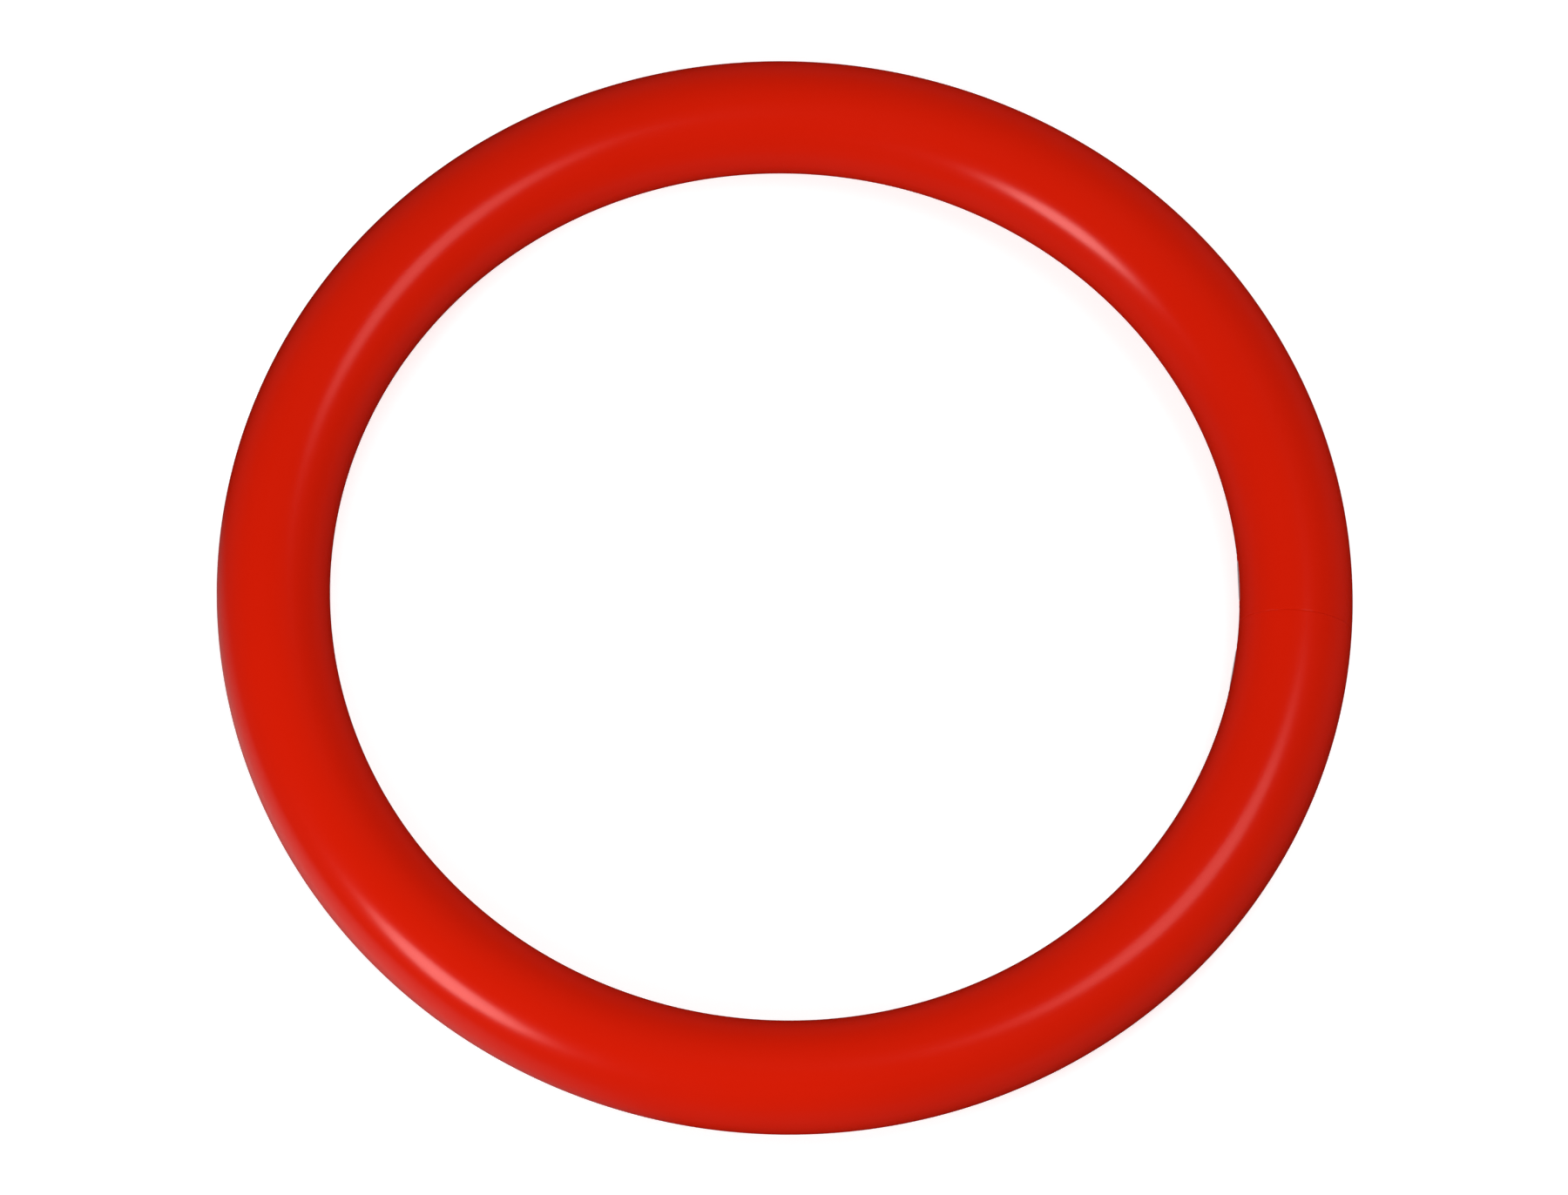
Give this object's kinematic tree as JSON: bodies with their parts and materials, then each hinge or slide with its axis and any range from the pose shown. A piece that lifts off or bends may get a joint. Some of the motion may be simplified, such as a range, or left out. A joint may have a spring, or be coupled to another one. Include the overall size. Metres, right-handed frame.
{
  "type": "juggling ring",
  "caption": "Round-section juggling ring: a hollow plastic tube bent into a circle, closed over a hidden barbed plug and stapled.",
  "frame": {"origin": "centre of the ring, on its mid-plane", "axes": "+Z along the ring's axis, +X from the centre through the seam, ring flat in the XY plane"},
  "size_m": [0.24, 0.24, 0.024],
  "materials": {
    "tube_plastic": "glossy, coloured through, smooth",
    "plug_plastic": "uncoloured moulded plastic",
    "staple_steel": "bright drawn flat wire"
  },
  "bodies": {
    "root": {"ring_tube": "tube_plastic", "joint_plug": "plug_plastic", "staple_a": "staple_steel", "staple_b": "staple_steel"}
  },
  "joints": []
}
